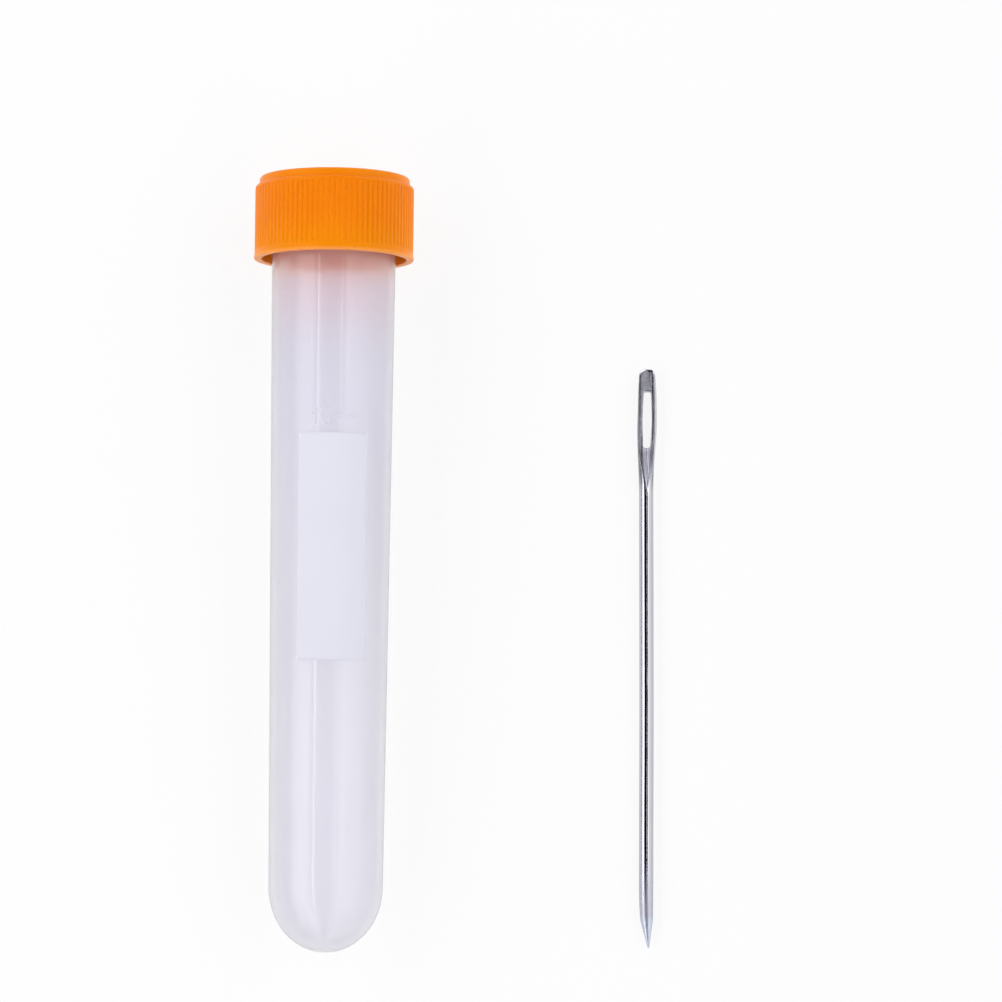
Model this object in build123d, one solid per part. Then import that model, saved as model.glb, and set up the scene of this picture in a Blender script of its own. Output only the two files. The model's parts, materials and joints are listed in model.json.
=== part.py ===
from build123d import *
import math
import os

# A large-eye yarn needle and the screw-top tube that it is kept in, laid side by side on a table.
# Millimetres, +Z up. The tube's axis runs along +Y, from its round end up to its cap, and leans up
# a little, because the tube rests on its round end and on the cap's wider hem. The needle lies at +X.

# Storage tube: heights run along its axis from the round end
tube_length = 98.8
tube_end_radius = 7.4
tube_draft_degrees = 0.47
tube_wall = 0.95
tube_end_wall = 1.3
tube_rim_chamfer = 0.2

# Writing patch: a thin matt film wrapped on the tube's front
patch_low = 37.3
patch_length = 29.4
patch_width = 9.2
patch_thickness = 0.12
patch_turn_degrees = 3.0

# Sealing liner: a disc in the cap's ceiling, which the tube's rim presses on
liner_overhang = 0.6
liner_thickness = 1.0

# Screw cap
thread_room = 1.25
cap_height = 10.8
cap_skirt_wall = 0.75
cap_crown_wall = 1.2
crown_step = 0.55
crown_band = 1.05
crown_chamfer = 0.35
shoulder_chamfer = 0.35
hem_band = 0.85
hem_lip = 0.45
hem_flare = 0.1
liner_clearance = 0.15
liner_play = 0.08
bead_bite = 0.15
bead_ramp = 0.9

# Grip ribs: the cap's skirt is cut by a ring of grooves, and the ribs stand between them
rib_count = 90
rib_height = 0.2
groove_width_share = 0.55
groove_margin = 0.1

# Needle: heights run along its axis from the point. The shank is round, and the head is flattened.
needle_length = 76.3
shank_radius = 0.95
tip_radius = 0.1
point_length = 3.7
point_base_radius = 0.84
point_swell = 6.0
head_width = 2.56
head_depth = 1.6
head_top_width = 1.9
head_top_depth = 1.5
head_top_round = 0.45
flat_thickness = 1.2
flat_margin = 0.5
eye_width = 1.23
eye_length = 7.65
eye_top_wall = 3.0
eye_chamfer = 0.1
flat_run = 5.6
gutter_length = 5.3
gutter_width = 1.0
gutter_lift = 0.22
gutter_tip_lift = 0.06

# The head swells from the round shank to its widest at the eye and narrows again to the top
head_height_shares = (0, 0.12, 0.24, 0.38, 0.54, 0.7, 0.85, 1)
head_swell_shares = (0, 0.09, 0.34, 0.7, 1, 0.84, 0.5, 0)
head_top_degrees = (30, 60, 90)

# How the needle lies beside the tube
needle_spacing = 41.9
needle_tip_inset = 1.5
needle_turn_degrees = 0.57

# One overrun for every cutting tool
overrun = 1.0

# Heights and radii that follow from the sizes above
tube_draft = math.radians(tube_draft_degrees)
cap_top = tube_length + liner_thickness + cap_crown_wall
cap_hem = cap_top - cap_height


def tube_radius(height):
    """Outer radius of the drafted tube at a height above its round end."""
    return tube_end_radius / math.cos(tube_draft) + (height - tube_end_radius) * math.tan(tube_draft)


mouth_radius = tube_radius(tube_length)
liner_radius = mouth_radius + liner_overhang
cap_bore_radius = mouth_radius + thread_room
groove_floor_radius = cap_bore_radius + cap_skirt_wall
skirt_radius = groove_floor_radius + rib_height
crown_radius = skirt_radius - crown_step
hem_radius = skirt_radius + hem_flare
eye_top = needle_length - eye_top_wall
eye_bottom = eye_top - eye_length
gutter_end = eye_bottom - gutter_length
head_low = eye_bottom - flat_run


def turned(corners):
    """Solid of revolution about Z from (radius, height) corners, listed in order."""
    outline = make_face(Polyline(*corners, close=True))
    return revolve(Plane.XZ * outline, axis=Axis.Z)


def round_ended_rod(end_radius, low, high):
    """Rod with the tube's draft whose low end is a dome tangent to its side."""
    centre_height = low + end_radius
    dome = CenterArc((0, centre_height), end_radius, -90, 90 - tube_draft_degrees)
    high_radius = end_radius / math.cos(tube_draft) + (high - centre_height) * math.tan(tube_draft)
    sides = Polyline(dome @ 1, (high_radius, high), (0, high), (0, low))
    return revolve(Plane.XZ * make_face(Curve() + dome + sides), axis=Axis.Z)


def storage_tube():
    """Round-ended tube: a drafted rod less a drafted cavity, with a chamfered rim."""
    outside = round_ended_rod(tube_end_radius, 0, tube_length)
    cavity = round_ended_rod(tube_end_radius - tube_wall, tube_end_wall, tube_length + overrun)
    shell = outside - cavity
    rim = shell.edges().filter_by(GeomType.CIRCLE).group_by(Axis.Z)[-1]
    return chamfer(rim, tube_rim_chamfer)


def writing_patch():
    """Film of even thickness on the tube's side, turned to face the front."""
    low_radius = tube_radius(patch_low)
    high_radius = tube_radius(patch_low + patch_length)
    section = Polyline(
        (low_radius, patch_low),
        (low_radius + patch_thickness, patch_low),
        (high_radius + patch_thickness, patch_low + patch_length),
        (high_radius, patch_low + patch_length),
        close=True,
    )
    arc_degrees = math.degrees(patch_width / ((low_radius + high_radius) / 2))
    film = revolve(Plane.XZ * make_face(section), axis=Axis.Z, revolution_arc=arc_degrees)
    front_degrees = -90 - arc_degrees / 2 + patch_turn_degrees
    return Rot(Z=front_degrees) * film


def cap_liner():
    """Sealing disc that sits on the tube's rim, against the cap's ceiling."""
    disc = Cylinder(liner_radius, liner_thickness, align=(Align.CENTER, Align.CENTER, Align.MIN))
    return Pos(Z=tube_length) * disc


def screw_cap():
    """Cap turned from one outline, then cut by the ring of grooves that leaves the grip ribs."""
    ceiling = cap_top - cap_crown_wall
    shoulder = cap_top - crown_band
    bead_top = tube_length - liner_play
    bead_radius = liner_radius - bead_bite
    pocket_radius = liner_radius + liner_clearance
    body = turned(
        [
            (0, cap_top),
            (crown_radius - crown_chamfer, cap_top),
            (crown_radius, cap_top - crown_chamfer),
            (crown_radius, shoulder),
            (skirt_radius - shoulder_chamfer, shoulder),
            (skirt_radius, shoulder - shoulder_chamfer),
            (skirt_radius, cap_hem + hem_lip),
            (hem_radius, cap_hem),
            (cap_bore_radius, cap_hem),
            (cap_bore_radius, bead_top - bead_ramp),
            (bead_radius, bead_top),
            (pocket_radius, bead_top),
            (pocket_radius, ceiling),
            (0, ceiling),
        ]
    )
    pitch = 2 * math.pi * skirt_radius / rib_count
    half_width = pitch * groove_width_share / 2
    spread = half_width * (rib_height + overrun) / rib_height
    groove = make_face(
        Polyline(
            (groove_floor_radius, 0),
            (skirt_radius + overrun, spread),
            (skirt_radius + overrun, -spread),
            close=True,
        )
    )
    ring = Sketch() + [place * groove for place in PolarLocations(0, rib_count)]
    groove_low = cap_hem + hem_band
    groove_high = shoulder - shoulder_chamfer - groove_margin
    return body - Pos(Z=groove_low) * extrude(ring, amount=groove_high - groove_low)


def needle_shank():
    """Ground point, its gentle swell and the round shank, turned from one outline."""
    return turned(
        [
            (0, 0),
            (tip_radius, 0),
            (point_base_radius, point_length),
            (shank_radius, point_length + point_swell),
            (shank_radius, head_low),
            (0, head_low),
        ]
    )


def flattened_wire():
    """The wire swollen into the head: a ruled loft through ellipses, with its top rounded over."""
    sections = []
    round_low = needle_length - head_top_round
    widest = head_height_shares[head_swell_shares.index(1)]
    for height_share, swell_share in zip(head_height_shares, head_swell_shares):
        past_widest = height_share > widest
        end_width = head_top_width if past_widest else 2 * shank_radius
        end_depth = head_top_depth if past_widest else 2 * shank_radius
        width = end_width + (head_width - end_width) * swell_share
        depth = end_depth + (head_depth - end_depth) * swell_share
        height = head_low + (round_low - head_low) * height_share
        sections.append(Plane.XY.offset(height) * Ellipse(width / 2, depth / 2))
    for degrees in head_top_degrees:
        rise = head_top_round * math.sin(math.radians(degrees))
        inset = head_top_round * (1 - math.cos(math.radians(degrees)))
        rounded = Ellipse(head_top_width / 2 - inset, head_top_depth / 2 - inset)
        sections.append(Plane.XY.offset(round_low + rise) * rounded)
    return loft(sections, ruled=True)


def flat_cutter():
    """Tool that planes one face of the head flat and runs out into the round wire."""
    clear = needle_length + overrun
    outside = shank_radius + overrun
    section = Polyline(
        (flat_thickness / 2, clear),
        (flat_thickness / 2, eye_bottom - flat_margin),
        (shank_radius, head_low),
        (outside, head_low),
        (outside, clear),
        close=True,
    )
    return extrude(Plane.YZ * make_face(section), amount=head_width, both=True)


def gutter_cutter():
    """Cone that cuts the gutter: wide and deep at the eye, and a sharp point at its far end."""
    start = Vector(0, flat_thickness / 2 + gutter_lift, eye_bottom + eye_width / 2)
    end = Vector(0, shank_radius + gutter_tip_lift, gutter_end)
    along = end - start
    seat = Plane(origin=start, x_dir=(1, 0, 0), z_dir=along)
    cone = Cone(
        gutter_width / 2,
        0,
        along.length,
        align=(Align.CENTER, Align.CENTER, Align.MIN),
    )
    return seat.location * cone


def needle_head():
    """Head on top of the shank: flats that face Y, the eye through them, and a gutter each side."""
    flat = flat_cutter()
    head = flattened_wire() - flat - mirror(flat, about=Plane.XZ)
    slot = Plane.XZ * Pos(0, (eye_top + eye_bottom) / 2) * SlotOverall(eye_length, eye_width, rotation=90)
    head = head - extrude(slot, amount=head_depth, both=True)
    eye_edges = [
        edge
        for edge in head.edges()
        if abs(abs(edge.center().Y) - flat_thickness / 2) < eye_chamfer / 2
        and eye_bottom - eye_chamfer < edge.center().Z < eye_top + eye_chamfer
        and abs(edge.center().X) < eye_width / 2 + eye_chamfer / 2
    ]
    head = chamfer(eye_edges, eye_chamfer)
    gutter = gutter_cutter()
    return head - gutter - mirror(gutter, about=Plane.XZ)


def tube_lean():
    """Angle of the tube's axis above the table, in radians, with its round end and hem both on it."""
    along = cap_hem - tube_end_radius
    across = hem_radius
    return math.atan2(across, along) - math.asin(tube_end_radius / math.hypot(along, across))


lean = tube_lean()
tube_axis = Vector(0, math.cos(lean), math.sin(lean))
tube_end = Vector(0, 0, tube_end_radius) - tube_axis * tube_end_radius
tube_seat = Plane(origin=tube_end, x_dir=(1, 0, 0), z_dir=tube_axis)

turn = math.radians(needle_turn_degrees)
needle_axis = Vector(-math.sin(turn), math.cos(turn), 0)
needle_tip = Vector(needle_spacing, needle_tip_inset - tube_end_radius, shank_radius)
needle_seat = Plane(origin=needle_tip, x_dir=(math.cos(turn), math.sin(turn), 0), z_dir=needle_axis)

laid_out = {
    "storage_tube": tube_seat.location * storage_tube(),
    "writing_patch": tube_seat.location * writing_patch(),
    "cap_liner": tube_seat.location * cap_liner(),
    "screw_cap": tube_seat.location * screw_cap(),
    "needle_shank": needle_seat.location * needle_shank(),
    "needle_head": needle_seat.location * needle_head(),
}

# The origin is the middle of the whole set's footprint, on the table
footprint = Compound(list(laid_out.values())).bounding_box()
to_origin = Pos(-footprint.center().X, -footprint.center().Y, -footprint.min.Z)

os.makedirs("parts", exist_ok=True)
for node, shape in laid_out.items():
    export_step(to_origin * shape, "parts/" + node + ".step")
    print(node, round(shape.volume, 1), "mm3")
print("lean", round(math.degrees(lean), 3), "shift", to_origin.position)
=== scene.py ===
# %% [markdown]
# # A yarn needle and its screw-top tube
#
# The real object is a large-eye steel needle and the plastic tube that it is kept in: a frosted,
# round-ended tube, an orange screw cap with fine grip ribs, and a white patch to write on.
# The CAD model already fixes every size. Blender's work here is the finish: soft moulded edges,
# screw threads, ground steel, and plastics that let some light through.
#
# The first cell loads the CAD model. Nothing in it is moved later, so each new surface is worked
# out in the same frame, and is laid over the CAD piece that it stands for.

# %% Load the CAD model as the frame
import json
import math

import bmesh
import bpy
import numpy as np
from mathutils import Matrix


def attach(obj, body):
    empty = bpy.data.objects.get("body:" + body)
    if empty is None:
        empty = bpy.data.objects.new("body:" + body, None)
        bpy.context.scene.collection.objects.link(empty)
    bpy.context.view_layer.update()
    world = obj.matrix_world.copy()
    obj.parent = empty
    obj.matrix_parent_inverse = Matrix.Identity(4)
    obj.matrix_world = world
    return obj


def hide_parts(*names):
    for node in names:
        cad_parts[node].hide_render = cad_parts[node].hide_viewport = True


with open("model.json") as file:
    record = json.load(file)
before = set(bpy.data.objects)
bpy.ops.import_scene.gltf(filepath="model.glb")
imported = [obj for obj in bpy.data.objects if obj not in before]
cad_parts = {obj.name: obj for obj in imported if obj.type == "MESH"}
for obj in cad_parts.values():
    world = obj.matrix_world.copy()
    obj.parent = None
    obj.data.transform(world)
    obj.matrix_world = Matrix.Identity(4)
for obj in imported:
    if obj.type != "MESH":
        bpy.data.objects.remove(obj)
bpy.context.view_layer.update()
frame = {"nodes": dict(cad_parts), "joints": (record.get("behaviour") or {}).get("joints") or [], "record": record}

# %% [markdown]
# ## Two frames to draw in
#
# A turned piece is easiest to draw round an upright axis, in millimetres. The tube lies on its
# side and leans a little, and the needle is turned a little on the table. So each gets a local
# frame: a starting point and three directions. The tube's axis is read from the cap's joint,
# because the cap is unscrewed along it, and the needle's from the mount on its shank.

# %% Local frames for the tube and the needle
MM = 0.001
joints = {joint["name"]: joint for joint in frame["joints"]}
mounts = {mount["name"]: mount for mount in frame["record"]["mounts"]}


def unit(vector):
    """A vector of length one in the same direction."""
    return np.asarray(vector, float) / np.linalg.norm(vector)


tube_axis = unit(joints["cap_turn"]["axis"])
cap_top = 101.0
tube_side = np.array([1.0, 0.0, 0.0])
tube_axes = np.array([tube_side, np.cross(tube_axis, tube_side), tube_axis])
tube_start = np.array(mounts["cap_crown"]["pos_m"]) / MM - cap_top * tube_axis

needle_axis = -unit(mounts["needle_shank"]["axis"])
needle_side = np.cross(needle_axis, [0.0, 0.0, 1.0])
needle_axes = np.array([needle_side, np.cross(needle_axis, needle_side), needle_axis])
needle_start = np.array([25.7483, -49.142, 0.95])


def placed(local, start, axes):
    """Millimetres in a local frame to metres in the model: start + x side + y across + z axis."""
    return (start + local @ axes) * MM


print("tube starts at", tube_start.round(3), "axis", tube_axis.round(5))
print("needle starts at", needle_start.round(3), "axis", needle_axis.round(5))

# %% [markdown]
# ## The camera
#
# The photograph was taken from nearly straight above with a long lens. The tube and the needle
# look almost free of perspective, and the cap's underside shows a little, so the camera leans
# towards the tube's round end. A lens of about 246 mm at 0.9 m gives that flat look.

# %% Camera at the photograph's angle
camera_target = np.array([5.97, 9.52, 0.0]) * MM
camera_distance = 0.9
camera_tilt = math.radians(8.26)
camera_roll = math.radians(0.6)
look = np.array([0.0, math.sin(camera_tilt), -math.cos(camera_tilt)])
side = np.array([1.0, 0.0, 0.0])
upward = np.cross(side, look)
rolled_side = math.cos(camera_roll) * side + math.sin(camera_roll) * upward
rolled_up = math.cos(camera_roll) * upward - math.sin(camera_roll) * side

camera = bpy.data.objects.new("camera", bpy.data.cameras.new("camera"))
bpy.context.scene.collection.objects.link(camera)
bpy.context.scene.camera = camera
turned_view = np.eye(4)
turned_view[:3, :3] = np.array([rolled_side, rolled_up, -look]).T
turned_view[:3, 3] = camera_target - camera_distance * look
camera.matrix_world = Matrix(turned_view.tolist())
camera.data.sensor_width = 36.0
camera.data.lens = 246.3
camera.data.clip_start = 0.05
camera.data.clip_end = 20.0
print("camera at", [round(v, 4) for v in camera.matrix_world.translation])

# %% [markdown]
# ## From a grid of numbers to a mesh
#
# Every new piece is a surface of two numbers, such as the angle round the axis and the distance
# along it. Numpy works out all the points at once. One helper then turns the whole grid into
# faces: a four-cornered face between each point and its neighbours, closed at both ends.

# %% A mesh from points and faces
def mesh_piece(name, points, faces, body, replaced=(), sharp_degrees=40.0):
    """Makes an object from points in metres and arrays of faces, and lets it ride on a CAD body."""
    mesh = bpy.data.meshes.new(name)
    corners = np.concatenate([block.ravel() for block in faces])
    sizes = np.concatenate([np.full(len(block), block.shape[1]) for block in faces])
    starts = np.concatenate([[0], np.cumsum(sizes)[:-1]])
    mesh.vertices.add(len(points))
    mesh.vertices.foreach_set("co", np.asarray(points, np.float32).ravel())
    mesh.loops.add(len(corners))
    mesh.loops.foreach_set("vertex_index", corners.astype(np.int32))
    mesh.polygons.add(len(sizes))
    mesh.polygons.foreach_set("loop_start", starts.astype(np.int32))
    mesh.update(calc_edges=True)
    mesh.validate()
    mesh.shade_smooth()
    mesh.set_sharp_from_angle(angle=math.radians(sharp_degrees))
    piece = bpy.data.objects.new(name, mesh)
    bpy.context.scene.collection.objects.link(piece)
    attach(piece, body)
    if replaced:
        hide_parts(*replaced)
    triangles = sum(len(block) * (block.shape[1] - 2) for block in faces)
    print(name, "has", len(points), "points and", triangles, "triangles")
    return piece


# %% Turned surfaces
def turned_faces(rows, columns):
    """Faces of a surface that goes right round: quads between rows, and a fan to each end's pole."""
    index = np.arange(rows * columns).reshape(rows, columns)
    beside = np.roll(index, -1, axis=1)
    quads = np.stack([index[:-1], beside[:-1], beside[1:], index[1:]], axis=-1).reshape(-1, 4)
    first = np.full(columns, rows * columns)
    low_fan = np.stack([first, beside[0], index[0]], axis=-1)
    high_fan = np.stack([first + 1, index[-1], beside[-1]], axis=-1)
    return [quads, low_fan, high_fan]


def turned_points(radius, height, angle, poles):
    """Points of a surface of revolution: (radius cos angle, radius sin angle, height), then two poles."""
    height = np.broadcast_to(height, radius.shape)
    ring = np.stack([radius * np.cos(angle), radius * np.sin(angle), height], axis=-1)
    ends = np.array([[0.0, 0.0, poles[0]], [0.0, 0.0, poles[1]]])
    return np.concatenate([ring.reshape(-1, 3), ends])


# %% Steps, arcs and straight runs
def smooth_step(low, high, value):
    """0 below low, 1 above high, and an S-shaped rise between: t squared times (3 - 2 t)."""
    t = np.clip((value - low) / (high - low), 0.0, 1.0)
    return t * t * (3.0 - 2.0 * t)


def arc(centre, size, from_degrees, to_degrees, count):
    """Rows of (radius, height) along part of an ellipse, angles measured from the outward direction."""
    t = np.radians(np.linspace(from_degrees, to_degrees, count))
    return np.stack([centre[0] + size[0] * np.cos(t), centre[1] + size[1] * np.sin(t)], axis=-1)


def run(start, end, count):
    """Evenly spaced rows of (radius, height) on a straight line, both ends included."""
    return np.linspace(start, end, count)


# %% [markdown]
# ## The screw thread
#
# The tube's neck and the inside of the cap carry matching ridges that wind round like a ramp.
# One turn climbs 3 mm. The ridge is a wedge with a flat crest. It could be swept along a helix,
# but on a turned surface it is simpler to ask, for each point, how far it is from the middle of
# the nearest ridge, measured along the axis, and to raise the radius there.
# Both ridges follow the same ramp, half a turn's climb apart, so the cap can wind off the neck.
# The joints' coupling says how many metres the cap climbs in a radian, which gives the lead.

# %% Thread as a change of radius
thread_lead = 2000 * math.pi * frame["record"]["behaviour"]["couplings"][0]["ratio"]
thread_start = 91.6
ridge_foot, ridge_crest = 0.66, 0.26
ridge_fade = 1.2
neck_thread, neck_ridge = (91.9, 97.4), 0.98
cap_thread_ends, cap_ridge = (91.4, 96.9), 0.93
half_lead = 1.5


def thread_ridge(height, angle, offset, low, high):
    """Ridge from 0 to 1: distance to the ramp start + lead angle / 2 pi, faded out at both ends."""
    ramp = thread_start + offset + thread_lead * angle / (2 * math.pi)
    away = (height - ramp + thread_lead / 2) % thread_lead - thread_lead / 2
    middle = height - away
    wedge = smooth_step(ridge_foot, ridge_crest, np.abs(away))
    ends = smooth_step(low, low + ridge_fade, middle) * smooth_step(high, high - ridge_fade, middle)
    return wedge * ends


print("one turn of the thread climbs", round(thread_lead, 3), "mm")

# %% [markdown]
# ## The storage tube
#
# The real tube is injection moulded in one shot: a slightly tapered wall, a round end that is a
# little longer than a half ball, and raised figures on the wall. Its outside and inside are one
# closed skin here, drawn as a single turned outline from the end's middle, up the outside, over
# the rounded rim and back down the inside. That gives the wall its true thickness, which matters
# for a plastic that light passes through. Rows lie close together only where the figures and the
# thread need them.

# %% Outline of the tube
draft = math.radians(0.47)
end_radius = 7.4
tube_length = 98.8
tube_wall = 0.95
end_wall = 1.3
dome_height = 8.5
rim_round = 0.2
figure_rows, thread_rows = (67.4, 70.2), (91.4, 98.0)


def tube_radius(height):
    """Outer radius of the wall: end radius / cos draft + (height - end radius) tan draft."""
    return end_radius / math.cos(draft) + (height - end_radius) * math.tan(draft)


dome_radius = tube_radius(dome_height)
mouth = tube_radius(tube_length)
outer_dome = arc((0.0, dome_height), (dome_radius, dome_height), -88, -2, 26)
outer_heights = np.concatenate(
    [
        np.linspace(dome_height, 67.2, 14),
        np.linspace(*figure_rows, 41),
        np.linspace(71.5, 90.5, 5),
        np.linspace(*thread_rows, 61),
        [tube_length - rim_round],
    ]
)
outer_side = np.stack([tube_radius(outer_heights), outer_heights], axis=-1)
rim_outside = arc((mouth - rim_round, tube_length - rim_round), (rim_round, rim_round), 20, 90, 5)
rim_inside = arc(
    (mouth - tube_wall + rim_round, tube_length - rim_round), (rim_round, rim_round), 90, 180, 6
)
inner_dome_height = dome_height + 0.3
inner_heights = np.linspace(tube_length - 1.0, inner_dome_height, 12)
inner_side = np.stack([tube_radius(inner_heights) - tube_wall, inner_heights], axis=-1)
inner_dome = arc(
    (0.0, inner_dome_height), (dome_radius - tube_wall, inner_dome_height - end_wall), -2, -88, 22
)
tube_outline = np.concatenate(
    [outer_dome, outer_side, rim_outside, rim_inside, inner_side, inner_dome]
)
outside_rows = len(outer_dome) + len(outer_side)
print("tube outline has", len(tube_outline), "rows")

# %% [markdown]
# ## Raised figures
#
# A moulded tube often carries a plain measuring mark, standing a few hundredths of a millimetre
# proud of the wall. It could be a separate piece, but as part of the mould it is better as a
# change of the wall's own radius. Each point asks how far it is from the nearest stroke.

# %% Measuring mark: two figures and a tick
stroke_half_width, crest_half_width = 0.2, 0.05
stroke_rise = 0.09
flag = ((-2.35, 69.3), (-1.95, 69.75))
stem = ((-1.95, 69.75), (-1.95, 67.85))
tick = ((1.1, 68.8), (3.1, 68.8))
nought_middle = (-0.62, 68.8)
nought_size = (0.55, 0.92)
nought_reach = 1.25 * nought_size[0]


def stroke_distance(across, height):
    """Smallest distance from a point to the straight strokes and to the nought's oval."""
    point = np.stack([across, height], axis=-1)
    gaps = []
    for start, end in (flag, stem, tick):
        start, along = np.array(start), np.subtract(end, start)
        share = np.clip(((point - start) @ along) / (along @ along), 0.0, 1.0)
        gaps.append(np.linalg.norm(point - start - share[..., None] * along, axis=-1))
    scaled = np.hypot(
        (across - nought_middle[0]) / nought_size[0], (height - nought_middle[1]) / nought_size[1]
    )
    gaps.append(np.abs(scaled - 1.0) * nought_reach)
    return np.min(gaps, axis=0)


# %% [markdown]
# ### Skin of the tube
#
# The columns are close together on the front, where the figures are. The wall's radius then takes
# the strokes and the thread, and the round end a small dimple, where plastic once entered the mould.

# %% Tube mesh
dimple_depth, dimple_radius = 0.12, 0.7
figure_angles = np.radians(np.linspace(-112, -64, 97))
plain_angles = np.radians(np.linspace(-64, 248, 113))[1:-1]
tube_angles = np.concatenate([figure_angles, plain_angles])
tube_angle, tube_row_radius = np.meshgrid(tube_angles, tube_outline[:, 0])
_, tube_height = np.meshgrid(tube_angles, tube_outline[:, 1])
across = tube_row_radius * np.cos(tube_angle)
from_stroke = stroke_distance(across, tube_height)
rise = stroke_rise * smooth_step(stroke_half_width, crest_half_width, from_stroke)
rise = np.where(np.sin(tube_angle) < 0, rise, 0.0)
rise = rise + neck_ridge * thread_ridge(tube_height, tube_angle, 0.0, *neck_thread)
rise[outside_rows:] = 0.0
gate_dimple = dimple_depth * np.exp(-((tube_row_radius / dimple_radius) ** 2))
gate_dimple[len(outer_dome):] = 0.0
tube_poles = (dimple_depth, end_wall)
tube_points = turned_points(tube_row_radius + rise, tube_height + gate_dimple, tube_angle, tube_poles)
tube_points = placed(tube_points, tube_start, tube_axes)
tube_faces = turned_faces(*tube_angle.shape)
storage_tube = mesh_piece("frosted_tube", tube_points, tube_faces, "tube", ["storage_tube"])

# %% [markdown]
# ## The screw cap
#
# The cap is also one moulding: a stepped crown with soft corners, ninety fine ribs to grip, a
# plain hem with a slightly flared lip, and a thread inside. Its ribs could be ninety copies of a
# small bar, but a turned surface with many columns takes them as ripples of the radius, so the
# grooves run out softly at both ends, as cut mould grooves do.

# %% Outline of the cap
cap_hem = 90.2
ceiling = 99.8
shoulder = 99.95
skirt = 10.35
crown = 9.8
bore = 9.4
hem_outside = 10.43
corner = 0.5
cap_outline = np.concatenate(
    [
        run((0.35, ceiling), (8.85, ceiling), 4),
        run((8.9, ceiling - 0.05), (8.9, 98.77), 3),
        arc((8.75, 98.72 - 0.15), (0.15, 0.15), 60, 180, 6),
        run((8.62, 98.5), (bore, 97.6), 6),
        run((bore, 97.4), (bore, 91.0), 41),
        run((bore, 90.8), (bore, cap_hem + 0.2), 3),
        arc((bore + 0.15, cap_hem + 0.15), (0.15, 0.15), 180, 270, 5),
        arc((hem_outside - 0.18, cap_hem + 0.18), (0.18, 0.18), -90, 0, 6),
        run((hem_outside - 0.01, cap_hem + 0.3), (skirt + 0.01, cap_hem + 0.55), 3),
        run((skirt, cap_hem + 0.65), (skirt, cap_hem + 0.85), 3),
        run((skirt, cap_hem + 0.95), (skirt, cap_hem + 1.4), 6),
        run((skirt, cap_hem + 2.5), (skirt, shoulder - 1.4), 6),
        run((skirt, shoulder - 1.0), (skirt, shoulder - 0.54), 6),
        arc((skirt - corner, shoulder - corner - 0.02), (corner, corner), 0, 90, 9),
        arc((crown + 0.12, shoulder + 0.1), (0.12, 0.12), 270, 180, 4),
        run((crown, shoulder + 0.2), (crown - 0.01, cap_top - 0.5), 4),
        arc((crown - 0.41, cap_top - 0.4), (0.4, 0.4), 0, 90, 9),
        run((crown - 0.6, cap_top), (1.3, cap_top), 2),
        run((1.1, cap_top), (0.4, cap_top), 6),
    ]
)
print("cap outline has", len(cap_outline), "rows")

# %% [markdown]
# ### Ribs, thread and gate mark of the cap
#
# Each groove between two ribs is a cosine squared across its width, and fades out at both ends.
# The bore takes the inner thread, and the crown's middle a shallow round mark from the mould.

# %% Cap mesh
rib_count = 90
rib_depth = 0.13
groove_half = 0.36
mark_depth, mark_radius = 0.1, 0.8
cap_angles = np.linspace(0, 2 * math.pi, rib_count * 8, endpoint=False)
cap_angle, cap_row_radius = np.meshgrid(cap_angles, cap_outline[:, 0])
_, cap_height = np.meshgrid(cap_angles, cap_outline[:, 1])
from_groove = (cap_angle * rib_count / (2 * math.pi) + 0.5) % 1.0 - 0.5
groove = np.cos(np.clip(np.abs(from_groove) / groove_half, 0.0, 1.0) * math.pi / 2) ** 2
run_out = smooth_step(cap_hem + 0.85, cap_hem + 1.2, cap_height)
run_out = run_out * smooth_step(shoulder - 0.4, shoulder - 0.75, cap_height)
groove = np.where(cap_row_radius > skirt - 0.01, rib_depth * groove * run_out, 0.0)
in_bore = (np.abs(cap_row_radius - bore) < 0.001) & (cap_height < 97.5)
inner_ridge = cap_ridge * thread_ridge(cap_height, cap_angle, half_lead, *cap_thread_ends)
inner_ridge = np.where(in_bore, inner_ridge, 0.0)
gate_mark = mark_depth * np.exp(-((cap_row_radius / mark_radius) ** 4))
gate_mark = np.where(cap_height > cap_top - 0.01, gate_mark, 0.0)
cap_poles = (ceiling, cap_top - mark_depth)
cap_radius = cap_row_radius - groove - inner_ridge
cap_points = turned_points(cap_radius, cap_height - gate_mark, cap_angle, cap_poles)
cap_points = placed(cap_points, tube_start, tube_axes)
cap_faces = turned_faces(*cap_angle.shape)
screw_cap = mesh_piece("ribbed_cap", cap_points, cap_faces, "cap", ["screw_cap"])

# %% [markdown]
# ## The writing patch
#
# A thin matt film is pressed onto the tube's front. It could be a curved plane with thickness
# added by a modifier, but a top and a bottom sheet that share one border are as short to write,
# and let the border be rounded off so that the film seems to melt into the tube.

# %% Sheets of the patch
patch_low, patch_length, patch_width, patch_rise = 37.3, 29.4, 9.2, 0.12
patch_turn = math.radians(-87.0)
film_gap, border_round = 0.012, 0.25


def patch_grid(rise_share, count=(33, 25)):
    """Sheet on the tube: the wall's radius plus a rise that falls away close to the border."""
    along = (1 - np.cos(np.linspace(0, math.pi, count[0]))) / 2
    about = (1 - np.cos(np.linspace(0, math.pi, count[1]))) / 2
    about, along = np.meshgrid(about, along)
    height = patch_low + patch_length * along
    half_angle = patch_width / 2 / tube_radius(patch_low + patch_length / 2)
    angle = patch_turn + half_angle * (2 * about - 1)
    from_ends = np.minimum(along, 1 - along) * patch_length
    from_sides = np.minimum(about, 1 - about) * patch_width
    border = np.minimum(from_ends, from_sides)
    swell = rise_share * np.sqrt(smooth_step(0.0, border_round, border))
    radius = tube_radius(height) + film_gap + (patch_rise - film_gap) * swell
    return np.stack([radius * np.cos(angle), radius * np.sin(angle), height], axis=-1)


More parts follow.
